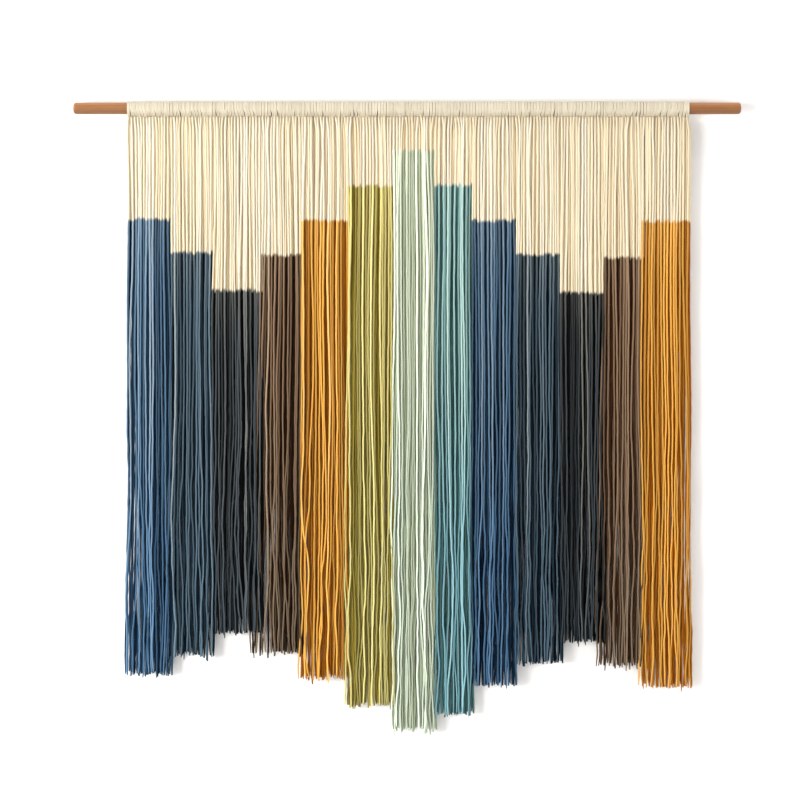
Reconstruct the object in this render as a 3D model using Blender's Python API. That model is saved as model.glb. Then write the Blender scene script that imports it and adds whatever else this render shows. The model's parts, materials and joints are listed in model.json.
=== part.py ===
"""A wall hanging: bands of dip-dyed yarn hitched side by side on a round wooden dowel.

Metres, +Z up. The origin is on the dowel's axis at mid-length, X runs along the dowel from the left end to the
right end, and -Y is the front. Each band is four hanks. A hank is a collar of yarn wraps round the dowel with a flat
tail of hanging yarn below it.
"""
import math

import bmesh
import bpy

# Dowel
ROD_DIAMETER = 0.0160
ROD_END_ROUND = 0.0040      # radius of the rounded corner at each end
BARE_LEFT = 0.0740          # bare wood left of the first band
BARE_RIGHT = 0.0710         # bare wood right of the last band
ROD_SIDES = 48
ROD_ROUND_STEPS = 6

# Yarn collar round the dowel
KNOT_PITCH = 0.00418        # width of dowel that one hitched length of yarn takes up
WRAP_THICKNESS = 0.0020     # yarn lying on the wood
WRAP_CLEARANCE = 0.0003     # between the collar and the wood
COLLAR_STEPS = 17           # outline steps round the collar, outside the tail

# Hanging tails
TAIL_FRONT = 0.0020         # tail's front face, in front of the dowel's axis
TAIL_BACK = 0.0040          # tail's back face, behind the dowel's axis
HANKS_PER_BAND = 4
HANK_GAP = 0.0003           # between neighbouring hanks

# One row for each band, from left to right: colour name, hitched lengths, drop from the dowel's axis to the tips
BANDS = (
    ("denim", 14, 0.774),
    ("slate", 14, 0.748),
    ("charcoal", 16, 0.718),
    ("taupe", 13, 0.745),
    ("amber", 15, 0.780),
    ("olive", 15, 0.816),
    ("mint", 14, 0.850),
    ("teal", 12, 0.828),
    ("denim", 14, 0.789),
    ("slate", 15, 0.759),
    ("charcoal", 14, 0.730),
    ("taupe", 13, 0.762),
    ("amber", 15, 0.791),
)

# Finishes: base colour, roughness, metallic
WOOD = ((0.43, 0.20, 0.085, 1.0), 0.55, 0.0)
DYES = {
    "denim": (0.06, 0.13, 0.22, 1.0),
    "slate": (0.035, 0.055, 0.075, 1.0),
    "charcoal": (0.03, 0.033, 0.034, 1.0),
    "taupe": (0.10, 0.065, 0.037, 1.0),
    "amber": (0.50, 0.20, 0.03, 1.0),
    "olive": (0.36, 0.30, 0.08, 1.0),
    "mint": (0.53, 0.58, 0.44, 1.0),
    "teal": (0.14, 0.26, 0.25, 1.0),
}
YARN_ROUGHNESS = 0.9

FIELD_WIDTH = KNOT_PITCH * sum(knots for _, knots, _ in BANDS)
ROD_LENGTH = BARE_LEFT + FIELD_WIDTH + BARE_RIGHT
FIELD_LEFT = BARE_LEFT - ROD_LENGTH / 2


def clear_scene():
    for old in list(bpy.data.objects):
        bpy.data.objects.remove(old, do_unlink=True)


def finish(name, colour, roughness, metallic):
    """A plain Principled material, made once for each name."""
    material = bpy.data.materials.get(name)
    if material is None:
        material = bpy.data.materials.new(name)
        material.use_nodes = True
        shader = material.node_tree.nodes["Principled BSDF"]
        shader.inputs["Base Color"].default_value = colour
        shader.inputs["Roughness"].default_value = roughness
        shader.inputs["Metallic"].default_value = metallic
    return material


def face_outwards(bm):
    """Turns the faces of a closed shape the same way, and all of them round if they enclose it inside out."""
    bmesh.ops.recalc_face_normals(bm, faces=bm.faces)
    if bm.calc_volume(signed=True) < 0:
        bmesh.ops.reverse_faces(bm, faces=bm.faces)


def add_object(name, bm, material):
    face_outwards(bm)
    mesh = bpy.data.meshes.new(name)
    bm.to_mesh(mesh)
    bm.free()
    mesh.materials.append(material)
    made = bpy.data.objects.new(name, mesh)
    bpy.context.scene.collection.objects.link(made)
    return made


def make_dowel():
    """A turned rod along X, its end corners rounded by a bevel that leaves a small flat face."""
    bm = bmesh.new()
    bmesh.ops.create_cone(
        bm,
        cap_ends=True,
        segments=ROD_SIDES,
        radius1=ROD_DIAMETER / 2,
        radius2=ROD_DIAMETER / 2,
        depth=ROD_LENGTH,
    )
    rims = [edge for edge in bm.edges if any(len(face.verts) > 4 for face in edge.link_faces)]
    bmesh.ops.bevel(
        bm,
        geom=rims,
        offset=ROD_END_ROUND,
        offset_type="OFFSET",
        segments=ROD_ROUND_STEPS,
        profile=0.5,
        affect="EDGES",
    )
    for corner in bm.verts:
        corner.co.x, corner.co.z = corner.co.z, -corner.co.x
    dowel = add_object("dowel", bm, finish("wood", *WOOD))
    dowel.data.shade_smooth()
    dowel.data.set_sharp_from_angle(angle=math.radians(30))
    return dowel


def collar_angles():
    """Angles round the collar from straight down, towards the back: three under the tail, then the way round."""
    outer = ROD_DIAMETER / 2 + WRAP_CLEARANCE + WRAP_THICKNESS
    front = -math.asin(TAIL_FRONT / outer)
    back = math.asin(TAIL_BACK / outer)
    way_round = (front + 2 * math.pi - back) / COLLAR_STEPS
    return [front, (front + back) / 2] + [back + way_round * step for step in range(COLLAR_STEPS)]


def circle(bm, angles, radius, x):
    return [bm.verts.new((x, radius * math.sin(a), -radius * math.cos(a))) for a in angles]


def make_hank(name, middle, width, drop, material):
    """A collar round the dowel with its tail below, as an outline across the dowel drawn out along it."""
    angles = collar_angles()
    widest_step = max(b - a for a, b in zip(angles, angles[1:] + [angles[0] + 2 * math.pi]))
    hole = (ROD_DIAMETER / 2 + WRAP_CLEARANCE) / math.cos(widest_step / 2)
    outside = ROD_DIAMETER / 2 + WRAP_CLEARANCE + WRAP_THICKNESS

    bm = bmesh.new()
    inner = circle(bm, angles, hole, -width / 2)
    outer = circle(bm, angles, outside, -width / 2)
    count = len(angles)
    for i in range(count):
        after = (i + 1) % count
        bm.faces.new((inner[i], outer[i], outer[after], inner[after]))
    front_tip = bm.verts.new((-width / 2, -TAIL_FRONT, -drop))
    back_tip = bm.verts.new((-width / 2, TAIL_BACK, -drop))
    bm.faces.new((outer[0], front_tip, outer[1]))
    bm.faces.new((outer[1], front_tip, back_tip))
    bm.faces.new((outer[1], back_tip, outer[2]))

    drawn = bmesh.ops.extrude_face_region(bm, geom=list(bm.faces))
    far_side = [piece for piece in drawn["geom"] if isinstance(piece, bmesh.types.BMVert)]
    bmesh.ops.translate(bm, verts=far_side, vec=(width, 0, 0))
    hank = add_object(name, bm, material)
    hank.location = (middle, 0, 0)
    hank.data.shade_smooth()
    hank.data.set_sharp_from_angle(angle=math.radians(30))
    return hank


def make_bands():
    left = FIELD_LEFT
    for number, (dye, knots, drop) in enumerate(BANDS, start=1):
        share = knots * KNOT_PITCH / HANKS_PER_BAND
        material = finish("yarn_" + dye, DYES[dye], YARN_ROUGHNESS, 0.0)
        for hank in range(HANKS_PER_BAND):
            name = f"band_{number:02d}_{dye}_hank_{hank + 1}"
            make_hank(name, left + share * (hank + 0.5), share - HANK_GAP, drop, material)
        left += share * HANKS_PER_BAND


clear_scene()
make_dowel()
make_bands()
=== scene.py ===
import json
import math

import bpy
import numpy as np
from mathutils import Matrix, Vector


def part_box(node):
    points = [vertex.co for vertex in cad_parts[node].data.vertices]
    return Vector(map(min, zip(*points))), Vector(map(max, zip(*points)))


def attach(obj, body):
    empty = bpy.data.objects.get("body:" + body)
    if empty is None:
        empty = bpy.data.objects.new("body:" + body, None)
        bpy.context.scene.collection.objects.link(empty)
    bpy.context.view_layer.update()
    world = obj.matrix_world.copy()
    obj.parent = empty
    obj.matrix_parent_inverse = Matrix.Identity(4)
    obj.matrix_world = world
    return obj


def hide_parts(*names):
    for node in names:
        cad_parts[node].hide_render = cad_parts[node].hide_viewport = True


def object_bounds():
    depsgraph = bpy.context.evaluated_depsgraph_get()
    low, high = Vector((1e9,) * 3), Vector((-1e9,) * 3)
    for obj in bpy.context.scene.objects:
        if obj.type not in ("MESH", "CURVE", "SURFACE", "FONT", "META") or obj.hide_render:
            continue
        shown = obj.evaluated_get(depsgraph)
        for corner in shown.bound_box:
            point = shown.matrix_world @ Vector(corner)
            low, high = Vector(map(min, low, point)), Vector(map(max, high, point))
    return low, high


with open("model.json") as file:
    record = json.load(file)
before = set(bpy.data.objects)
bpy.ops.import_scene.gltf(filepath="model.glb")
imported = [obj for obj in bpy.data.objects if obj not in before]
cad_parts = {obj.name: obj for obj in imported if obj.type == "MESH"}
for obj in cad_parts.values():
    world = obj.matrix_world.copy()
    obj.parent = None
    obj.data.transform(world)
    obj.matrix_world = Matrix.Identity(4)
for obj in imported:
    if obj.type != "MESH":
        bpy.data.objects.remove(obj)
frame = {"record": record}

bl_info = {
    "name": "Dip-Dyed Wall Hanging",
    "version": (1, 0, 0),
    "blender": (4, 5, 0),
    "location": "View3D > Sidebar > Wall Hanging",
    "description": "Hitches bands of dip-dyed yarn side by side on a turned wooden dowel",
    "category": "Add Mesh",
}

CAD_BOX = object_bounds()
ROD_BODY = "rod"
ROD_NODE = "dowel"

MM = 0.001

# For each band from left to right: the depth of its dye line below the dowel's axis, how light its dye came out, how
# far the yarns at its left edge stray to the left on their way down, and how much the dye deepens towards the tips
DYED = (
    (0.151, 1.00, 5 * MM, 0.9),
    (0.197, 1.00, 3 * MM, 0.3),
    (0.249, 1.00, 2 * MM, 0.7),
    (0.200, 1.00, 19 * MM, 0.7),
    (0.153, 1.00, 3 * MM, 0.0),
    (0.106, 1.00, 2 * MM, 0.3),
    (0.058, 1.00, 2 * MM, 0.3),
    (0.105, 1.00, 2 * MM, 1.1),
    (0.153, 0.82, 2 * MM, 1.0),
    (0.200, 0.77, 3 * MM, 0.5),
    (0.252, 0.81, 2 * MM, 0.6),
    (0.204, 1.43, 11 * MM, 0.6),
    (0.154, 1.11, 3 * MM, 0.0),
)


def band_rows():
    """One dictionary for each band, left to right: its body, nodes, dye, edges, drop and dye line."""
    rows = []
    groups = frame["record"]["behaviour"]["bodies"]
    for body in sorted(name for name in groups if name != ROD_BODY):
        corners = [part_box(node) for node in groups[body]]
        rows.append(
            {
                "body": body,
                "nodes": list(groups[body]),
                "dye": body.split("_")[2],
                "left": min(low.x for low, _ in corners),
                "right": max(high.x for _, high in corners),
                "drop": -min(low.z for low, _ in corners),
                "line": DYED[len(rows)][0],
                "lightness": DYED[len(rows)][1],
                "splay": DYED[len(rows)][2],
                "deepening": DYED[len(rows)][3],
            }
        )
    return rows


def rod_size():
    """The dowel's length and diameter, from its node."""
    low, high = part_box(ROD_NODE)
    return high.x - low.x, high.z - low.z


def as_light(red, green, blue):
    """A display colour from 0 to 255 as the linear colour that a shader takes."""
    shares = [part / 255 for part in (red, green, blue)]
    return [s / 12.92 if s <= 0.04045 else ((s + 0.055) / 1.055) ** 2.4 for s in shares]


# ---------------------------------------------------------------- settings


def colour(name, description, red, green, blue):
    return bpy.props.FloatVectorProperty(
        name=name,
        description=description,
        subtype="COLOR",
        size=3,
        min=0.0,
        max=1.0,
        default=as_light(red, green, blue),
    )


def length(name, description, default):
    return bpy.props.FloatProperty(
        name=name, description=description, subtype="DISTANCE", unit="LENGTH", min=0.0, default=default
    )


class DowelSettings(bpy.types.PropertyGroup):
    end_round: length("End Round", "Radius of the rounded corner at each end of the dowel", 4.0 * MM)
    light_wood: colour("Light Wood", "Colour of the wood between the grain lines", 176, 119, 68)
    dark_wood: colour("Dark Wood", "Colour of the grain lines", 119, 67, 32)


class YarnSettings(bpy.types.PropertyGroup):
    diameter: length("Yarn Diameter", "Thickness of a hanging yarn", 2.4 * MM)
    pitch: length("Knot Pitch", "Width of dowel that one hitch takes up", 4.18 * MM)
    ply_turn: length("Ply Turn", "Length of yarn in which its plies turn once", 11.0 * MM)
    ring_gap: length("Ring Gap", "Distance between the rings of faces along a yarn", 4.0 * MM)
    tip_scatter: length("Tip Scatter", "How much the cut ends vary above and below the band's drop", 4.5 * MM)
    drift: length("Drift", "How far neighbouring yarns lean to the side together", 1.6 * MM)
    clumping: length("Clumping", "How far yarns move to lie against a neighbour", 2.2 * MM)
    wander: length("Wander", "How far one yarn strays from its neighbours", 0.85 * MM)
    crinkle: length("Crinkle", "Size of the small bends along a yarn", 0.28 * MM)


class DyeSettings(bpy.types.PropertyGroup):
    cream: colour("Cream", "Undyed yarn", 232, 220, 194)
    denim: colour("Denim", "Dye of the first and ninth bands", 77, 104, 127)
    slate: colour("Slate", "Dye of the second and tenth bands", 77, 95, 107)
    charcoal: colour("Charcoal", "Dye of the third and eleventh bands", 61, 66, 69)
    taupe: colour("Taupe", "Dye of the fourth and twelfth bands", 109, 88, 69)
    amber: colour("Amber", "Dye of the fifth and thirteenth bands", 190, 141, 64)
    olive: colour("Olive", "Dye of the sixth band", 182, 171, 108)
    mint: colour("Mint", "Dye of the seventh band", 198, 206, 186)
    teal: colour("Teal", "Dye of the eighth band", 122, 154, 152)


class StageSettings(bpy.types.PropertyGroup):
    wall_gap: length("Wall Gap", "Distance from the dowel's axis to the wall behind", 15.0 * MM)
    floor_depth: length("Floor Depth", "Distance from the dowel's axis down to the floor", 1.4)


# ---------------------------------------------------------------- node trees


class Recipe:
    """Adds nodes to a tree. Any value may be a number or another node's output."""

    def __init__(self, tree):
        self.tree = tree

    def feed(self, socket, value):
        if isinstance(value, bpy.types.NodeSocket):
            self.tree.links.new(value, socket)
        else:
            socket.default_value = value

    def node(self, kind, values=None, **settings):
        made = self.tree.nodes.new(kind)
        for name, value in settings.items():
            setattr(made, name, value)
        for name, value in (values or {}).items():
            self.feed(made.inputs[name], value)
        return made

    def sum(self, operation, *values):
        made = self.node("ShaderNodeMath", operation=operation)
        for socket, value in zip(made.inputs, values):
            self.feed(socket, value)
        return made.outputs[0]

    def add(self, *values):
        total = values[0]
        for value in values[1:]:
            total = self.sum("ADD", total, value)
        return total

    def times(self, *values):
        total = values[0]
        for value in values[1:]:
            total = self.sum("MULTIPLY", total, value)
        return total

    def less(self, first, second):
        return self.sum("SUBTRACT", first, second)

    def blend(self, first, second, share):
        return self.add(first, self.times(share, self.less(second, first)))

    def ramp(self, value, start, end, low=0.0, high=1.0, shape="SMOOTHSTEP"):
        values = {"Value": value, "From Min": start, "From Max": end, "To Min": low, "To Max": high}
        return self.node("ShaderNodeMapRange", values, interpolation_type=shape).outputs["Result"]

    def point(self, x, y, z):
        return self.node("ShaderNodeCombineXYZ", {"X": x, "Y": y, "Z": z}).outputs["Vector"]

    def noise(self, x, y, z, detail=0.0):
        """Smooth noise, mostly from -1 to 1, that changes over a distance of about 1."""
        values = {"Vector": self.point(x, y, z), "Scale": 1.0, "Detail": detail}
        made = self.node("ShaderNodeTexNoise", values)
        return self.times(self.less(made.outputs["Fac"], 0.5), 3.0)

    def random(self, low, high, number, seed):
        made = self.node("FunctionNodeRandomValue", {"ID": number, "Seed": seed}, data_type="FLOAT")
        self.feed(made.inputs[2], low)
        self.feed(made.inputs[3], high)
        return made.outputs[1]


def new_tree(name, inputs):
    """A Geometry Nodes tree with these named inputs. Returns the recipe, its inputs and its output node."""
    tree = bpy.data.node_groups.new(name, "GeometryNodeTree")
    tree.interface.new_socket("Geometry", in_out="INPUT", socket_type="NodeSocketGeometry")
    for label, kind in inputs.items():
        tree.interface.new_socket(label, in_out="INPUT", socket_type=kind)
    tree.interface.new_socket("Geometry", in_out="OUTPUT", socket_type="NodeSocketGeometry")
    recipe = Recipe(tree)
    given = recipe.node("NodeGroupInput").outputs
    return recipe, given, recipe.node("NodeGroupOutput")


def end_tree(recipe, geometry, material, result):
    """Every tree ends in Realize Instances and Set Material."""
    real = recipe.node("GeometryNodeRealizeInstances", {"Geometry": geometry})
    coloured = recipe.node("GeometryNodeSetMaterial", {"Geometry": real.outputs[0], "Material": material})
    recipe.feed(result.inputs[0], coloured.outputs[0])


def grow(tree, name, values):
    """Runs a tree with these inputs and returns its result as a plain mesh object."""
    carrier = bpy.data.objects.new(name + "_carrier", bpy.data.meshes.new(name + "_carrier"))
    bpy.context.scene.collection.objects.link(carrier)
    modifier = carrier.modifiers.new("Nodes", "NODES")
    modifier.node_group = tree
    for item in tree.interface.items_tree:
        if item.in_out == "INPUT" and item.name in values:
            modifier[item.identifier] = values[item.name]
    carrier.update_tag()
    graph = bpy.context.evaluated_depsgraph_get()
    mesh = bpy.data.meshes.new_from_object(
        carrier.evaluated_get(graph), preserve_all_data_layers=True, depsgraph=graph
    )
    carrier.modifiers.remove(modifier)
    bpy.data.objects.remove(carrier, do_unlink=True)
    mesh.name = name
    made = bpy.data.objects.new(name, mesh)
    bpy.context.scene.collection.objects.link(made)
    return made


YARN_INPUTS = {
    "Left": "NodeSocketFloat",
    "Width": "NodeSocketFloat",
    "Hitches": "NodeSocketInt",
    "Rod Diameter": "NodeSocketFloat",
    "Yarn Diameter": "NodeSocketFloat",
    "Ply Turn": "NodeSocketFloat",
    "Seed": "NodeSocketInt",
    "Yarn": "NodeSocketMaterial",
}
TAIL_INPUTS = {
    "Drop": "NodeSocketFloat",
    "Rings": "NodeSocketInt",
    "Tip Scatter": "NodeSocketFloat",
    "Drift": "NodeSocketFloat",
    "Clumping": "NodeSocketFloat",
    "Wander": "NodeSocketFloat",
    "Crinkle": "NodeSocketFloat",
    "Marked Every": "NodeSocketInt",
    "Only": "NodeSocketInt",
    "Layer": "NodeSocketFloat",
    "Splay": "NodeSocketFloat",
    "Pale Edge": "NodeSocketFloat",
}

WRAP_SHARE = 1.02           # width of a yarn pressed round the dowel, as a share of its hanging thickness
WRAP_PRESS = 0.64           # how flat the wraps are pressed against the wood
WOOD_GAP = 0.1 * MM
LEG_SHARE = 0.235           # where the loop's legs lie from the knot's middle, as a share of the knot pitch
TAIL_SHARE = 0.22           # where the tails leave the knot
LOOP_TURN = -46.0           # degrees round from the back to where the loop of a knot lies under the dowel
TAIL_TURN = -30.0           # degrees round from the back to where the tails leave the dowel
PROFILE_POINTS = 5          # points round a yarn
KNOT_RINGS = 44             # rings of points along one side of a knot, from its loop to where it ends behind
BEND_RINGS = 6              # how many of them lie in the bend of the loop
UPRIGHT_KNOTS = 3.0         # knots next to a band's edge over which the lean fades out, clear of the next band
MARKED_EVERY = 11           # every so many yarn ends, one is a piece of its own
NONE_MARKED = 1000          # more than the yarn ends of any band
ROD_RINGS = 181             # rings of points along the dowel
CORNER_RINGS = 10           # how many of them round each end corner
ROD_SIDES = 72
PALE_EDGE = 0.3             # how much paler the yarns at the left edge of the first band are
UNDER_SEED = 100            # added to a band's seed for its back layer of yarn


def yarn_lines(recipe, rings, ends):
    """Straight curves with this many points, one for each yarn end, and each one's number."""
    line = recipe.node("GeometryNodeCurvePrimitiveLine").outputs["Curve"]
    cut = recipe.node("GeometryNodeResampleCurve", {"Curve": line, "Count": rings}).outputs["Curve"]
    copies = recipe.node("GeometryNodeDuplicateElements", {"Geometry": cut, "Amount": ends}, domain="SPLINE")
    return copies.outputs["Geometry"], copies.outputs["Duplicate Index"]


def ring_number(recipe):
    """Which ring of its yarn a point belongs to, from 0 at the start."""
    return recipe.node("GeometryNodeSplineParameter").outputs["Index"]


def knot_place(recipe, given, number):
    """Where the knot of this yarn end is along the dowel, and the side of the knot that the end is on."""
    knot = recipe.sum("FLOOR", recipe.times(number, 0.5))
    side = recipe.less(recipe.times(recipe.sum("MODULO", number, 2.0), 2.0), 1.0)
    pitch = recipe.sum("DIVIDE", given["Width"], given["Hitches"])
    middle = recipe.add(given["Left"], recipe.times(pitch, recipe.add(knot, 0.5)))
    return knot, side, pitch, middle


def wrap_radius(recipe, given):
    """Distance from the dowel's axis to the middle of a yarn wrapped round it."""
    tight = recipe.times(given["Yarn Diameter"], 0.5 * WRAP_SHARE)
    return recipe.add(recipe.times(given["Rod Diameter"], 0.5), WOOD_GAP, tight)


def press_on_wood(recipe, given, geometry):
    """Presses the yarn round the dowel flat, less so below it where the yarns cross."""
    here = recipe.node("GeometryNodeInputPosition").outputs[0]
    parts = recipe.node("ShaderNodeSeparateXYZ", {"Vector": here}).outputs
    out = recipe.sum("SQRT", recipe.add(recipe.times(parts["Y"], parts["Y"]), recipe.times(parts["Z"], parts["Z"])))
    wood = recipe.add(recipe.times(given["Rod Diameter"], 0.5), WOOD_GAP)
    press = recipe.ramp(parts["Z"], -9.0 * MM, -2.0 * MM, 1.0, WRAP_PRESS)
    pressed = recipe.add(wood, recipe.times(recipe.less(out, wood), press))
    scale = recipe.sum("DIVIDE", pressed, out)
    place = recipe.point(parts["X"], recipe.times(parts["Y"], scale), recipe.times(parts["Z"], scale))
    return recipe.node("GeometryNodeSetPosition", {"Geometry": geometry, "Position": place}).outputs[0]


def keep(recipe, geometry, name, value, kind="FLOAT"):
    """Keeps a value on every point, for the material."""
    values = {"Geometry": geometry, "Name": name, "Value": value}
    return recipe.node("GeometryNodeStoreNamedAttribute", values, data_type=kind, domain="POINT").outputs[0]


def yarn_tubes(recipe, given, curves, number, thickness, shade):
    """Turns the curves into round tubes with closed ends. Keeps each yarn's tone, its lightness with painted light and
    shade, and the turning of its plies.
    """
    tone = recipe.random(0.0, 1.0, number, given["Seed"])
    distance = recipe.node("GeometryNodeSplineParameter").outputs["Length"]
    turns = recipe.add(recipe.sum("DIVIDE", distance, given["Ply Turn"]), recipe.times(tone, 7.0))
    marked = keep(recipe, keep(recipe, curves, "yarn_tone", tone), "yarn_turns", turns)
    marked = keep(recipe, marked, "yarn_shade", shade)
    ring = recipe.node("GeometryNodeCurvePrimitiveCircle", {"Resolution": PROFILE_POINTS, "Radius": 1.0})
    side = recipe.node("GeometryNodeInputPosition").outputs[0]
    values = {
        "Curve": marked,
        "Profile Curve": keep(recipe, ring.outputs["Curve"], "yarn_side", side, "FLOAT_VECTOR"),
        "Scale": recipe.times(given["Yarn Diameter"], 0.5, thickness),
        "Fill Caps": True,
    }
    tubes = recipe.node("GeometryNodeCurveToMesh", values).outputs[0]
    pressed = press_on_wood(recipe, given, tubes)
    return recipe.node("GeometryNodeSetShadeSmooth", {"Geometry": pressed}).outputs[0]


def knot_tree():
    """Reverse lark's heads: from the loop behind, under the dowel, up its front, over it and down its back."""
    recipe, given, result = new_tree("Yarn Knots", YARN_INPUTS)
    curves, number = yarn_lines(recipe, KNOT_RINGS, recipe.times(given["Hitches"], 2))
    knot, side, pitch, middle = knot_place(recipe, given, number)
    seed = given["Seed"]
    ring = ring_number(recipe)
    bend = recipe.ramp(ring, 0.0, BEND_RINGS, 0.0, math.pi / 2, "LINEAR")
    wrap = recipe.ramp(ring, BEND_RINGS, KNOT_RINGS - 1.0, shape="LINEAR")

    leg = recipe.times(recipe.sum("SINE", bend), LEG_SHARE)
    inwards = recipe.times(recipe.ramp(wrap, 0.0, 1.0), TAIL_SHARE - LEG_SHARE)
    wave = recipe.sum("SINE", recipe.ramp(wrap, 0.0, 0.32, 0.0, math.pi, "LINEAR"))
    shared_pull = recipe.times(recipe.noise(recipe.times(middle, 35.0), 0.0, 0.0), 0.45)
    pull = recipe.add(recipe.times(middle, -1.6), shared_pull)
    own_pull = recipe.random(-0.2, 0.2, knot, recipe.add(seed, 50))
    from_left = recipe.add(knot, 0.5)
    from_edge = recipe.sum("MINIMUM", from_left, recipe.less(given["Hitches"], from_left))
    lean = recipe.times(recipe.add(pull, own_pull), wave, recipe.ramp(from_edge, 0.2, UPRIGHT_KNOTS))
    shove = recipe.times(recipe.random(-0.05, 0.05, number, recipe.add(seed, 51)), recipe.ramp(wrap, 0.0, 0.3))
    shift = recipe.add(recipe.times(side, recipe.add(leg, inwards)), lean, shove)
    x = recipe.add(middle, recipe.times(pitch, shift))

    bulge = recipe.times(recipe.less(recipe.sum("COSINE", bend), 1.0), math.radians(10))
    turn = recipe.add(math.radians(LOOP_TURN), bulge, recipe.times(wrap, math.radians(TAIL_TURN - 360 - LOOP_TURN)))
    loose = recipe.random(0.35, 0.95, knot, recipe.add(seed, 53))
    lift = recipe.times(given["Yarn Diameter"], recipe.ramp(wrap, 0.0, 0.24, 1.0, 0.0), loose)
    out = recipe.add(wrap_radius(recipe, given), lift)
    y = recipe.times(out, recipe.sum("COSINE", turn))
    z = recipe.times(out, recipe.sum("SINE", turn))
    placed = recipe.node("GeometryNodeSetPosition", {"Geometry": curves, "Position": recipe.point(x, y, z)})
    shade = recipe.random(0.8, 1.0, number, recipe.add(seed, 52))
    tubes = yarn_tubes(recipe, given, placed.outputs[0], number, WRAP_SHARE, shade)
    end_tree(recipe, tubes, given["Yarn"], result)
    return recipe.tree


def tail_tree():
    """Hanging yarns: each leaves its knot behind the dowel, swings in under it and hangs in one of two loose layers."""
    recipe, given, result = new_tree("Hanging Yarns", {**YARN_INPUTS, **TAIL_INPUTS})
    curves, number = yarn_lines(recipe, given["Rings"], recipe.times(given["Hitches"], 2))
    side, pitch, middle = knot_place(recipe, given, number)[1:]
    seed = given["Seed"]
    shift = recipe.times(seed, 7.3)
    share = recipe.sum("DIVIDE", ring_number(recipe), recipe.less(given["Rings"], 1.0))

    def own(low, high, step):
        return recipe.random(low, high, number, recipe.add(seed, step))

    def waves(first, first_rate, down_rate, step):
        return recipe.noise(recipe.times(first, first_rate), recipe.times(depth, down_rate), step)

    def own_waves(rate, down_rate, step):
        return waves(number, rate, down_rate, recipe.add(shift, step))

    # where each yarn starts, and how deep its tip hangs
    radius = wrap_radius(recipe, given)
    under = given["Layer"]
    outer = recipe.times(recipe.less(1.0, under), recipe.less(1.0, side), 0.5)
    start_x = recipe.add(middle, recipe.times(side, pitch, TAIL_SHARE))
    start_y = recipe.times(radius, math.cos(math.radians(TAIL_TURN)))
    start_depth = recipe.times(radius, -math.sin(math.radians(TAIL_TURN)))
    uneven = recipe.times(recipe.noise(recipe.times(start_x, 45.0), 0.0, 3.0), 0.6)
    stray = recipe.times(recipe.sum("POWER", own(0.0, 1.0, 1), 9.0), 1.8)
    tip = recipe.add(given["Drop"], recipe.times(given["Tip Scatter"], recipe.add(own(-0.6, 0.6, 2), uneven, stray)))
    depth = recipe.blend(start_depth, tip, share)

    # sideways
    uneven_x = recipe.times(recipe.less(1.0, under), own(-1.5 * MM, 1.5 * MM, 10))
    front_x = recipe.times(side, 0.17)
    behind_x = recipe.less(0.2, recipe.times(side, 0.25))
    even_x = recipe.add(middle, recipe.times(pitch, recipe.blend(front_x, behind_x, under)), uneven_x)
    across = recipe.less(even_x, recipe.add(given["Left"], recipe.times(given["Width"], 0.5)))
    edge = recipe.ramp(across, recipe.times(given["Width"], -0.5), recipe.times(given["Width"], -0.2), 1.0, 0.0)
    astray = recipe.times(edge, given["Splay"], recipe.sum("POWER", share, 1.5), -1.0)
    flare = recipe.add(recipe.times(across, recipe.ramp(share, 0.0, 1.0, 0.0, 0.05)), astray)
    free = recipe.ramp(depth, 0.006, 0.035)
    lower = recipe.ramp(share, 0.35, 1.0)
    together = recipe.times(given["Drift"], waves(start_x, 22.0, 4.0, 0.0))
    gather = recipe.less(recipe.less(0.8, recipe.times(side, 0.3)), recipe.times(under, 1.2))
    clump_rate = recipe.add(1.0, recipe.times(lower, 0.6))
    clump = recipe.times(given["Clumping"], gather, clump_rate, waves(even_x, 120.0, 2.2, 9.0))
    restless = recipe.sum("POWER", own(0.0, 1.0, 3), 5.0)
    strayed = recipe.times(restless, recipe.add(2.2, recipe.times(lower, 4.2)))
    alone = recipe.times(given["Wander"], recipe.add(1.0, lower, strayed), own_waves(5.7, 6.0, 20.0))
    bent = recipe.times(given["Wander"], recipe.add(0.3, recipe.times(lower, 2.6)), own_waves(8.1, 15.0, 25.0))
    small = recipe.times(given["Crinkle"], recipe.add(1.0, lower), own_waves(3.1, 60.0, 30.0))
    calm = recipe.less(1.0, recipe.times(under, 0.6))
    moved = recipe.times(free, recipe.add(flare, together, clump, recipe.times(calm, recipe.add(alone, bent)), small))
    x = recipe.add(recipe.blend(start_x, even_x, free), moved)

    # to the front and back
    apart = recipe.ramp(depth, 0.03, 0.3, 2.3 * MM, 3.2 * MM)
    level = recipe.add(-0.3 * MM, recipe.times(under, apart), recipe.times(side, 0.8 * MM))
    layer = recipe.add(level, own(-0.5 * MM, 0.5 * MM, 4))
    waver = recipe.add(recipe.times(own_waves(4.3, 8.0, 40.0), 0.8 * MM), recipe.times(restless, outer, -1.0 * MM))
    behind = recipe.times(astray, -0.25)
    y = recipe.blend(start_y, recipe.add(layer, waver, behind), recipe.ramp(depth, 0.004, 0.0145))
    z = recipe.times(depth, -1.0)

    placed = recipe.node("GeometryNodeSetPosition", {"Geometry": curves, "Position": recipe.point(x, y, z)})
    # the yarns that are pieces of their own are left out here, or one of them is the only one kept
    marked = recipe.sum("COMPARE", recipe.sum("MODULO", number, given["Marked Every"]), 1.0, 0.5)
    wanted = recipe.sum("COMPARE", number, given["Only"], 0.5)
    one_wanted = recipe.sum("GREATER_THAN", given["Only"], -0.5)
    drop_it = recipe.blend(marked, recipe.less(1.0, wanted), one_wanted)
    values = {"Geometry": placed.outputs[0], "Selection": drop_it}
    kept = recipe.node("GeometryNodeDeleteGeometry", values, domain="CURVE").outputs[0]
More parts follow.
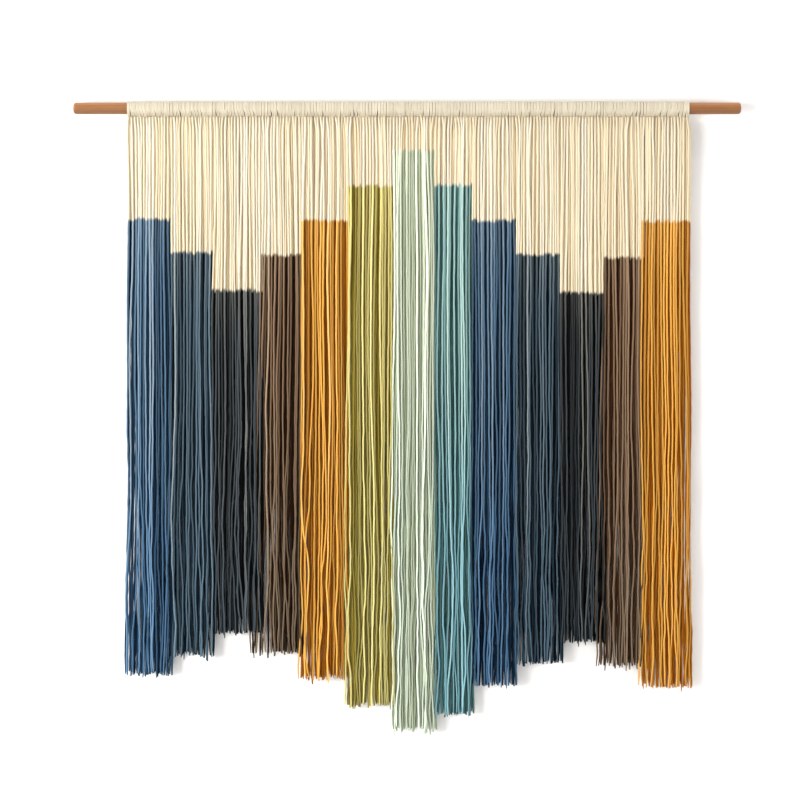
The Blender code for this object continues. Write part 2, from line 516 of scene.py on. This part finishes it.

    # thickness, and each yarn's lightness: a random tone, raised on the front yarns and on the strays in front as
    # painted light, and kept low on the yarns inside the band as painted shade
    loosened = recipe.ramp(depth, 0.05, 0.5, 1.2, 0.84)
    worn = recipe.ramp(share, 0.985, 1.0, 1.0, 0.72)
    rear = recipe.times(under, recipe.add(1.0, side), 0.5)
    # the yarns inside the band, between the front and the back layer: their low lightness is painted shade
    shaded_inside = recipe.less(1.0, recipe.add(outer, rear))
    bright = recipe.add(0.42, recipe.times(recipe.sum("POWER", own(0.0, 1.0, 7), 2.2), 1.2))
    bright = recipe.add(bright, recipe.times(restless, 0.5), recipe.times(edge, given["Pale Edge"]))
    shade = recipe.add(
        recipe.times(outer, bright),
        recipe.times(rear, own(0.6, 1.0, 8)),
        recipe.times(shaded_inside, own(0.0, 0.42, 9)),
    )
    patchy = recipe.times(recipe.noise(recipe.times(even_x, 75.0), under, 0.0), 0.38)
    shade = recipe.sum("MAXIMUM", recipe.add(shade, patchy), 0.0)
    stout = recipe.add(own(0.92, 1.1, 6), recipe.times(outer, 0.14), recipe.times(under, 0.45))
    tubes = yarn_tubes(recipe, given, kept, number, recipe.times(loosened, worn, stout), shade)
    end_tree(recipe, tubes, given["Yarn"], result)
    return recipe.tree


def rod_tree():
    """A turned rod along X with rounded end corners and flat ends."""
    inputs = {
        "Length": "NodeSocketFloat",
        "Diameter": "NodeSocketFloat",
        "End Round": "NodeSocketFloat",
        "Wood": "NodeSocketMaterial",
    }
    recipe, given, result = new_tree("Turned Dowel", inputs)
    line = recipe.node("GeometryNodeCurvePrimitiveLine").outputs["Curve"]
    cut = recipe.node("GeometryNodeResampleCurve", {"Curve": line, "Count": ROD_RINGS}).outputs["Curve"]
    share = recipe.times(ring_number(recipe), 1 / (ROD_RINGS - 1))
    corner = CORNER_RINGS / (ROD_RINGS - 1)
    first = recipe.ramp(share, 0.0, corner, 0.0, math.pi / 2, "LINEAR")
    last = recipe.ramp(share, 1.0 - corner, 1.0, math.pi / 2, 0.0, "LINEAR")
    middle = recipe.ramp(share, corner, 1.0 - corner, shape="LINEAR")
    whole, soft = given["Length"], given["End Round"]
    straight = recipe.less(whole, recipe.times(soft, 2.0))
    x = recipe.add(
        recipe.times(whole, -0.5),
        recipe.times(soft, recipe.less(1.0, recipe.sum("COSINE", first))),
        recipe.times(straight, middle),
        recipe.times(soft, recipe.sum("COSINE", last)),
    )
    placed = recipe.node("GeometryNodeSetPosition", {"Geometry": cut, "Position": recipe.point(x, 0.0, 0.0)})
    shoulder = recipe.sum("MINIMUM", recipe.sum("SINE", first), recipe.sum("SINE", last))
    plain = recipe.less(recipe.times(given["Diameter"], 0.5), soft)
    turned = recipe.add(1.0, recipe.times(recipe.noise(recipe.times(x, 30.0), 0.0, 0.0), 0.006))
    radius = recipe.times(recipe.add(plain, recipe.times(soft, shoulder)), turned)
    profile = recipe.node("GeometryNodeCurvePrimitiveCircle", {"Resolution": ROD_SIDES, "Radius": 1.0}).outputs["Curve"]
    values = {"Curve": placed.outputs[0], "Profile Curve": profile, "Scale": radius, "Fill Caps": True}
    tube = recipe.node("GeometryNodeCurveToMesh", values).outputs[0]
    smooth = recipe.node("GeometryNodeSetShadeSmooth", {"Geometry": tube}).outputs[0]
    end_tree(recipe, smooth, given["Wood"], result)
    return recipe.tree


# ---------------------------------------------------------------- materials


def new_material(name):
    """A material with an empty tree, its recipe and its shader."""
    material = bpy.data.materials.new(name)
    material.use_nodes = True
    recipe = Recipe(material.node_tree)
    return material, recipe, material.node_tree.nodes["Principled BSDF"]


def tinted(base, red, green, blue):
    return [part * factor for part, factor in zip(base, (red, green, blue))]


def mix_colours(recipe, share, first, second):
    """The first colour where the share is 0 and the second where it is 1."""
    made = recipe.node("ShaderNodeMix", data_type="RGBA", clamp_factor=True)
    recipe.feed(made.inputs[0], share)
    for socket, value in ((made.inputs[6], first), (made.inputs[7], second)):
        recipe.feed(socket, value if isinstance(value, bpy.types.NodeSocket) else (*value, 1.0))
    return made.outputs[2]


def dyed_colour(recipe, cream, dye, deepening, below, lightness):
    """The dyed part's colour: deeper towards the tips, with painted shade on the yarns inside the band and a painted
    paler highlight on the brightest front yarns.
    """
    soaked = [1.06 * d + 0.03 * c for d, c in zip(dye, cream)]
    deep = tinted(dye, *(part ** deepening for part in (0.74, 0.89, 1.03)))
    # a darker, deeper colour for the yarns inside the band: painted shade
    power = 2.5 - 1.1 * math.sqrt(sum(dye) / 3)
    shaded_inside = [min(d, 1.3 * d ** power) for d in dye]
    pale = [0.9 * d + 0.1 * c for d, c in zip(dye, cream)]
    dyed = mix_colours(recipe, recipe.ramp(below, 0.0, 0.09), soaked, dye)
    dyed = mix_colours(recipe, recipe.ramp(below, 0.15, 0.55), dyed, deep)
    dyed = mix_colours(recipe, recipe.ramp(lightness, 0.05, 0.75), shaded_inside, dyed)
    # the brightest front yarns turn paler: a painted highlight
    painted_highlight_share = recipe.times(recipe.ramp(lightness, 1.15, 1.75), recipe.ramp(below, 0.2, 0.5, 1.0, 0.2))
    return mix_colours(recipe, painted_highlight_share, dyed, pale)


def undyed_colour(recipe, cream, z, lightness):
    """The undyed part's colour: ivory in front with a painted highlight on the brightest yarns, painted tan shade
    inside the band, greyer on the wraps round the dowel with painted shade low on them, and painted light just under
    the knots.
    """
    hanging = tinted(cream, 0.92, 0.945, 0.99)
    painted_ivory_highlight = [min(1.0, part) for part in tinted(hanging, 1.03, 1.06, 1.12)]
    painted_honey_shade = recipe.times(recipe.ramp(lightness, 0.3, 0.5), recipe.ramp(lightness, 0.6, 0.95, 1.0, 0.0))
    # the yarns inside the band and the dimmer front yarns turn tan: painted shade
    undyed = mix_colours(recipe, recipe.ramp(lightness, 0.1, 0.7), tinted(hanging, 1.06, 0.96, 0.82), hanging)
    undyed = mix_colours(recipe, painted_honey_shade, undyed, tinted(hanging, 1.0, 0.96, 0.87))
    # the brightest front yarns turn paler ivory: a painted highlight
    undyed = mix_colours(recipe, recipe.ramp(lightness, 0.9, 1.5), undyed, painted_ivory_highlight)

    # greyer colours for the wraps round the dowel, the darker one on knot yarns of lower random tone
    loose, tight = tinted(cream, 0.745, 0.755, 0.785), tinted(cream, 0.835, 0.87, 0.94)
    wrapped = mix_colours(recipe, recipe.ramp(lightness, 0.8, 1.0), loose, tight)
    # the wraps darken towards the dowel's underside: painted shade
    painted_shade_under_rod = recipe.ramp(z, -3.0 * MM, -10.0 * MM, 0.0, 0.55)
    wrapped = mix_colours(recipe, painted_shade_under_rod, wrapped, tinted(cream, 0.6, 0.6, 0.6))
    # just under the knots the yarns are plain, slightly bluer cream, lighter than lower down: painted light that lifts
    # the shade there
    undyed = mix_colours(recipe, recipe.ramp(z, -19.0 * MM, -12.0 * MM), undyed, tinted(cream, 1.0, 1.0, 1.03))
    return mix_colours(recipe, recipe.ramp(z, -12.0 * MM, -10.5 * MM), undyed, wrapped)


def yarn_material(name, cream, dye, line, deepening):
    """Plied wool: cream above the dye line and dyed below, with uneven uptake, fine fibres, painted shade in the ply
    grooves, and painted light and shade from each yarn's lightness.
    """
    material, recipe, shader = new_material(name)
    place = recipe.node("ShaderNodeTexCoord").outputs["Object"]
    parts = recipe.node("ShaderNodeSeparateXYZ", {"Vector": place}).outputs
    x, y, z = (parts[axis] for axis in "XYZ")
    tone = recipe.node("ShaderNodeAttribute", attribute_name="yarn_tone").outputs["Fac"]
    lightness = recipe.node("ShaderNodeAttribute", attribute_name="yarn_shade").outputs["Fac"]
    turns = recipe.node("ShaderNodeAttribute", attribute_name="yarn_turns").outputs["Fac"]
    side = recipe.node("ShaderNodeAttribute", attribute_name="yarn_side").outputs["Vector"]
    round_yarn = recipe.node("ShaderNodeSeparateXYZ", {"Vector": side}).outputs

    def streaks(across, down, detail=2.0):
        return recipe.noise(recipe.times(x, across), recipe.times(y, across), recipe.times(z, down), detail)

    around = recipe.sum("ARCTAN2", round_yarn["Y"], round_yarn["X"])
    ply_turn = recipe.times(recipe.less(around, recipe.times(turns, 2 * math.pi)), 1.5)
    ply = recipe.sum("ABSOLUTE", recipe.sum("COSINE", ply_turn))

    ragged = recipe.add(
        recipe.times(streaks(60.0, 8.0), 1.2 * MM),
        recipe.times(recipe.less(tone, 0.5), 5.0 * MM),
        recipe.times(streaks(900.0, 120.0), 0.8 * MM),
    )
    below = recipe.add(recipe.times(z, -1.0), -line, ragged)
    line_share = recipe.ramp(below, -2.0 * MM, 3.0 * MM)
    undyed = undyed_colour(recipe, cream, z, lightness)
    dyed = dyed_colour(recipe, cream, dye, deepening, below, lightness)
    both = mix_colours(recipe, line_share, undyed, dyed)
    # the dyed part is scaled by each yarn's lightness (painted light on the front yarns, painted shade on those inside
    # the band), by random streaks, and by painted shade in the ply grooves
    shade = recipe.times(
        recipe.blend(1.0, recipe.ramp(lightness, 0.4, 1.6, 0.74, 1.75, "LINEAR"), line_share),
        recipe.add(1.0, recipe.times(streaks(350.0, 25.0), 0.06)),
        recipe.ramp(ply, 0.0, 0.5, 0.88, 1.0),
    )
    shaded = recipe.node("ShaderNodeVectorMath", operation="SCALE")
    recipe.feed(shaded.inputs[0], both)
    recipe.feed(shaded.inputs["Scale"], shade)
    recipe.feed(shader.inputs["Base Color"], shaded.outputs[0])

    fibres = recipe.add(recipe.times(streaks(2600.0, 420.0, 3.0), 0.5), recipe.times(streaks(5200.0, 1500.0), 0.3))
    height = recipe.add(recipe.times(ply, 0.20 * MM), recipe.times(fibres, 0.06 * MM))
    bump = recipe.node("ShaderNodeBump", {"Strength": 0.8, "Distance": 1.0, "Height": height})
    recipe.feed(shader.inputs["Normal"], bump.outputs[0])
    recipe.feed(shader.inputs["Roughness"], recipe.ramp(fibres, -1.0, 1.0, 0.95, 0.80, "LINEAR"))
    shader.inputs["Specular IOR Level"].default_value = 0.03
    shader.inputs["Sheen Weight"].default_value = 0.015
    shader.inputs["Sheen Roughness"].default_value = 0.5
    return material


def wood_material(settings, half_length):
    """Oiled reddish wood with painted shade underneath, fine grain along the dowel and rings on its ends."""
    material, recipe, shader = new_material("dowel_wood")
    place = recipe.node("ShaderNodeTexCoord").outputs["Object"]
    parts = recipe.node("ShaderNodeSeparateXYZ", {"Vector": place}).outputs
    x, y, z = (parts[axis] for axis in "XYZ")

    def grain(across, along, detail=3.0):
        return recipe.noise(recipe.times(x, along), recipe.times(y, across), recipe.times(z, across), detail)

    off_y = recipe.add(y, 0.011)
    off_z = recipe.less(z, 0.006)
    wave = recipe.times(grain(90.0, 6.0), 0.8 * MM)
    out = recipe.add(recipe.sum("SQRT", recipe.add(recipe.times(off_y, off_y), recipe.times(off_z, off_z))), wave)
    rings = recipe.sum("PINGPONG", recipe.times(out, 1 / (1.6 * MM)), 1.0)
    pores = recipe.ramp(grain(2600.0, 60.0), 0.35, 0.9)
    share = recipe.add(
        recipe.times(recipe.ramp(rings, 0.1, 1.0), 0.25),
        recipe.times(recipe.ramp(grain(300.0, 12.0), -0.9, 0.9), 0.35),
        recipe.times(pores, 0.35),
    )
    wood = mix_colours(recipe, share, settings.light_wood, settings.dark_wood)
    # darker towards the dowel's underside: painted shade
    painted_underside_shade = recipe.ramp(z, 7.0 * MM, -7.0 * MM, 0.0, 0.5)
    wood = mix_colours(recipe, painted_underside_shade, wood, tinted(settings.dark_wood, 0.1, 0.1, 0.1))
    at_end = recipe.ramp(recipe.sum("ABSOLUTE", x), half_length - 1.0 * MM, half_length - 0.1 * MM)
    ends = mix_colours(recipe, recipe.times(at_end, 0.45), wood, tinted(settings.dark_wood, 0.6, 0.6, 0.6))
    recipe.feed(shader.inputs["Base Color"], ends)
    height = recipe.add(recipe.times(pores, -0.7), recipe.times(grain(900.0, 20.0), 0.3))
    bump = recipe.node("ShaderNodeBump", {"Strength": 0.35, "Distance": 0.15 * MM, "Height": height})
    recipe.feed(shader.inputs["Normal"], bump.outputs[0])
    recipe.feed(shader.inputs["Roughness"], recipe.ramp(share, 0.0, 1.0, 0.42, 0.62, "LINEAR"))
    return material


def stage_material():
    """White paint in front. From behind, the wall isn't there, so that the back of the hanging can be seen."""
    material, recipe, shader = new_material("stage_white")
    shader.inputs["Base Color"].default_value = (0.93, 0.93, 0.93, 1.0)
    shader.inputs["Roughness"].default_value = 0.9
    behind = recipe.node("ShaderNodeNewGeometry").outputs["Backfacing"]
    clear = recipe.node("ShaderNodeBsdfTransparent").outputs[0]
    both = recipe.node("ShaderNodeMixShader")
    recipe.feed(both.inputs[0], behind)
    recipe.feed(both.inputs[1], shader.outputs[0])
    recipe.feed(both.inputs[2], clear)
    recipe.feed(material.node_tree.nodes["Material Output"].inputs["Surface"], both.outputs[0])
    return material


# ---------------------------------------------------------------- pieces


def yarn_values(row, settings, number):
    """The tree inputs that the knots and the tails of one band share."""
    width = row["right"] - row["left"]
    return {
        "Left": row["left"],
        "Width": width,
        "Hitches": round(width / settings.pitch),
        "Rod Diameter": rod_size()[1],
        "Yarn Diameter": settings.diameter,
        "Ply Turn": settings.ply_turn,
        "Seed": number,
        "Yarn": bpy.data.materials["yarn_" + row["body"]],
    }


def tail_values(row, settings, number, only=-1, layer=0):
    values = {
        "Drop": row["drop"],
        "Rings": round(row["drop"] / settings.ring_gap / (1 + layer)),
        "Tip Scatter": settings.tip_scatter,
        "Drift": settings.drift,
        "Clumping": settings.clumping,
        "Wander": settings.wander,
        "Crinkle": settings.crinkle,
        "Marked Every": NONE_MARKED if layer else MARKED_EVERY,
        "Only": only,
        "Layer": float(layer),
        "Splay": row["splay"],
        "Pale Edge": PALE_EDGE if number == 1 else 0.0,
    }
    return {**yarn_values(row, settings, number + UNDER_SEED * layer), **values}


def check(done, message):
    if not done:
        raise RuntimeError(message)


class DyeYarn(bpy.types.Operator):
    """Makes one dip-dyed yarn material for each band"""

    bl_idname = "wall_hanging.dye_yarn"
    bl_label = "Dye Yarn"

    def execute(self, context):
        dyes = context.scene.wall_hanging_dyes
        for row in band_rows():
            dye = [part * row["lightness"] for part in getattr(dyes, row["dye"])]
            yarn_material("yarn_" + row["body"], list(dyes.cream), dye, row["line"], row["deepening"])
        return {"FINISHED"}


class TurnDowel(bpy.types.Operator):
    """Turns the wooden dowel that the yarn hangs on"""

    bl_idname = "wall_hanging.turn_dowel"
    bl_label = "Turn Dowel"

    def execute(self, context):
        settings = context.scene.wall_hanging_dowel
        whole, diameter = rod_size()
        values = {
            "Length": whole,
            "Diameter": diameter,
            "End Round": settings.end_round,
            "Wood": wood_material(settings, whole / 2),
        }
        rod = grow(rod_tree(), "turned_dowel", values)
        rod.data.set_sharp_from_angle(angle=math.radians(40))
        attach(rod, ROD_BODY)
        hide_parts(ROD_NODE)
        return {"FINISHED"}


class TieKnots(bpy.types.Operator):
    """Ties every band's row of reverse lark's heads on the dowel"""

    bl_idname = "wall_hanging.tie_knots"
    bl_label = "Tie Knots"

    def execute(self, context):
        settings = context.scene.wall_hanging_yarn
        tree = knot_tree()
        for number, row in enumerate(band_rows(), start=1):
            knots = grow(tree, row["body"] + "_knots", yarn_values(row, settings, number))
            check(len(knots.data.vertices), "the knots came out empty")
            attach(knots, row["body"])
        return {"FINISHED"}


class HangYarn(bpy.types.Operator):
    """Hangs the tails of every band below its knots in two layers, some of them as pieces of their own"""

    bl_idname = "wall_hanging.hang_yarn"
    bl_label = "Hang Yarn"

    def execute(self, context):
        settings = context.scene.wall_hanging_yarn
        tree = tail_tree()
        for number, row in enumerate(band_rows(), start=1):
            tails = grow(tree, row["body"] + "_tails", tail_values(row, settings, number))
            check(len(tails.data.vertices), "the tails came out empty")
            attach(tails, row["body"])
            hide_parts(*row["nodes"])
            under = grow(tree, row["body"] + "_under_tails", tail_values(row, settings, number, layer=1))
            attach(under, row["body"])
            ends = 2 * round((row["right"] - row["left"]) / settings.pitch)
            for count, end in enumerate(range(1, ends, MARKED_EVERY), start=1):
                self.hang_one(tree, row, settings, number, end, count)
        return {"FINISHED"}

    def hang_one(self, tree, row, settings, number, end, count):
        name = f"{row['body']}_single_yarn_{count}"
        yarn = grow(tree, name, tail_values(row, settings, number, only=end))
        points = np.array([v.co for v in yarn.data.vertices]).reshape(-1, PROFILE_POINTS, 3)
        middle_line = points.mean(axis=1)
        steps = np.linalg.norm(np.diff(middle_line, axis=0), axis=1)
        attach(yarn, row["body"])
        float(steps.sum())


class SetStage(bpy.types.Operator):
    """Sets up the white wall and floor, the window light and the camera"""

    bl_idname = "wall_hanging.set_stage"
    bl_label = "Set Stage"

    def execute(self, context):
        settings = context.scene.wall_hanging_stage
        self.make_wall(settings)
        self.make_lights(context.scene)
        self.make_camera(context.scene)
        return {"FINISHED"}

    def make_wall(self, settings):
        """A floor that curves up into the wall, as one sheet with its front towards the camera."""
        radius, reach, half_width, top, steps = 0.25, 3.5, 4.0, 2.5, 16
        wall, floor = settings.wall_gap, -settings.floor_depth
        outline = [(wall - reach, floor)]
        for step in range(steps + 1):
            turn = math.pi / 2 * step / steps
            outline.append((wall - radius + radius * math.sin(turn), floor + radius - radius * math.cos(turn)))
        outline.append((wall, top))
        points = [(x, y, z) for y, z in outline for x in (-half_width, half_width)]
        faces = [(2 * i, 2 * i + 1, 2 * i + 3, 2 * i + 2) for i in range(len(outline) - 1)]
        mesh = bpy.data.meshes.new("stage_sweep")
        mesh.from_pydata(points, [], faces)
        mesh.shade_smooth()
        mesh.materials.append(stage_material())
        sweep = bpy.data.objects.new("stage_sweep", mesh)
        bpy.context.scene.collection.objects.link(sweep)

    def make_lights(self, scene):
        self.add_light(scene, "window_light", (-2.75, -2.1, -0.42), (1.7, 1.15), 126.0, (1.0, 0.985, 0.95))
        self.add_light(scene, "room_fill", (-0.8, -3.0, -0.40), (3.0, 1.2), 5.0, (0.97, 0.985, 1.0))
        self.add_light(scene, "back_light", (-0.9, 2.4, 0.1), (2.2, 1.4), 45.0, (1.0, 0.99, 0.97))
        self.add_light(scene, "bounce", (1.5, -0.75, -0.40), (0.5, 1.1), 10.0, (1.0, 0.94, 0.90))
        self.add_light(scene, "ceiling_light", (0.0, -0.6, 1.9), (2.0, 0.5), 26.0, (1.0, 0.99, 0.97))
        world = bpy.data.worlds.new("pale_room")
        world.use_nodes = True
        world.node_tree.nodes["Background"].inputs["Color"].default_value = (1.0, 0.985, 0.98, 1.0)
        world.node_tree.nodes["Background"].inputs["Strength"].default_value = 0.31
        scene.world = world

    def add_light(self, scene, name, place, size, power, colour):
        """A flat lamp aimed at the middle of the hanging."""
        lamp = bpy.data.lights.new(name, "AREA")
        lamp.shape = "RECTANGLE"
        lamp.size, lamp.size_y = size
        lamp.energy = power
        lamp.color = colour
        light = bpy.data.objects.new(name, lamp)
        light.location = place
        aim = hanging_middle() - light.location
        light.rotation_euler = aim.to_track_quat("-Z", "Y").to_euler()
        scene.collection.objects.link(light)

    def make_camera(self, scene):
        """A long lens square to the wall, a little left of the dowel's middle."""
        away, view_width, sensor = 3.2, 1.096, 36.0
        lens = bpy.data.cameras.new("camera")
        lens.sensor_width = sensor
        lens.lens = sensor * away / view_width
        camera = bpy.data.objects.new("camera", lens)
        camera.location = (-9.8 * MM, -away, -0.3995)
        camera.rotation_euler = (math.pi / 2, 0.0, 0.0)
        scene.collection.objects.link(camera)
        scene.camera = camera
        scene.view_settings.view_transform = "Standard"


def hanging_middle():
    low, high = CAD_BOX
    return (low + high) / 2


class WallHangingPanel(bpy.types.Panel):
    """Lists the steps that make the wall hanging"""

    bl_idname = "VIEW3D_PT_wall_hanging"
    bl_label = "Wall Hanging"
    bl_space_type = "VIEW_3D"
    bl_region_type = "UI"
    bl_category = "Wall Hanging"

    def draw(self, context):
        for operator in OPERATORS:
            self.layout.operator(operator.bl_idname)
        for group in SETTINGS:
            box = self.layout.box()
            settings = getattr(context.scene, group)
            for name in settings.bl_rna.properties.keys():
                if name not in ("rna_type", "name"):
                    box.prop(settings, name)


SETTINGS = {
    "wall_hanging_dowel": DowelSettings,
    "wall_hanging_yarn": YarnSettings,
    "wall_hanging_dyes": DyeSettings,
    "wall_hanging_stage": StageSettings,
}
OPERATORS = (SetStage, DyeYarn, TurnDowel, TieKnots, HangYarn)
CLASSES = (*SETTINGS.values(), *OPERATORS, WallHangingPanel)


def register():
    for made in CLASSES:
        bpy.utils.register_class(made)
    for name, group in SETTINGS.items():
        setattr(bpy.types.Scene, name, bpy.props.PointerProperty(type=group))


def unregister():
    for name in SETTINGS:
        delattr(bpy.types.Scene, name)
    for made in reversed(CLASSES):
        bpy.utils.unregister_class(made)


def main():
    register()
    bpy.ops.wall_hanging.set_stage()
    bpy.ops.wall_hanging.dye_yarn()
    bpy.ops.wall_hanging.turn_dowel()
    bpy.ops.wall_hanging.tie_knots()
    bpy.ops.wall_hanging.hang_yarn()


if __name__ == "__main__":
    main()
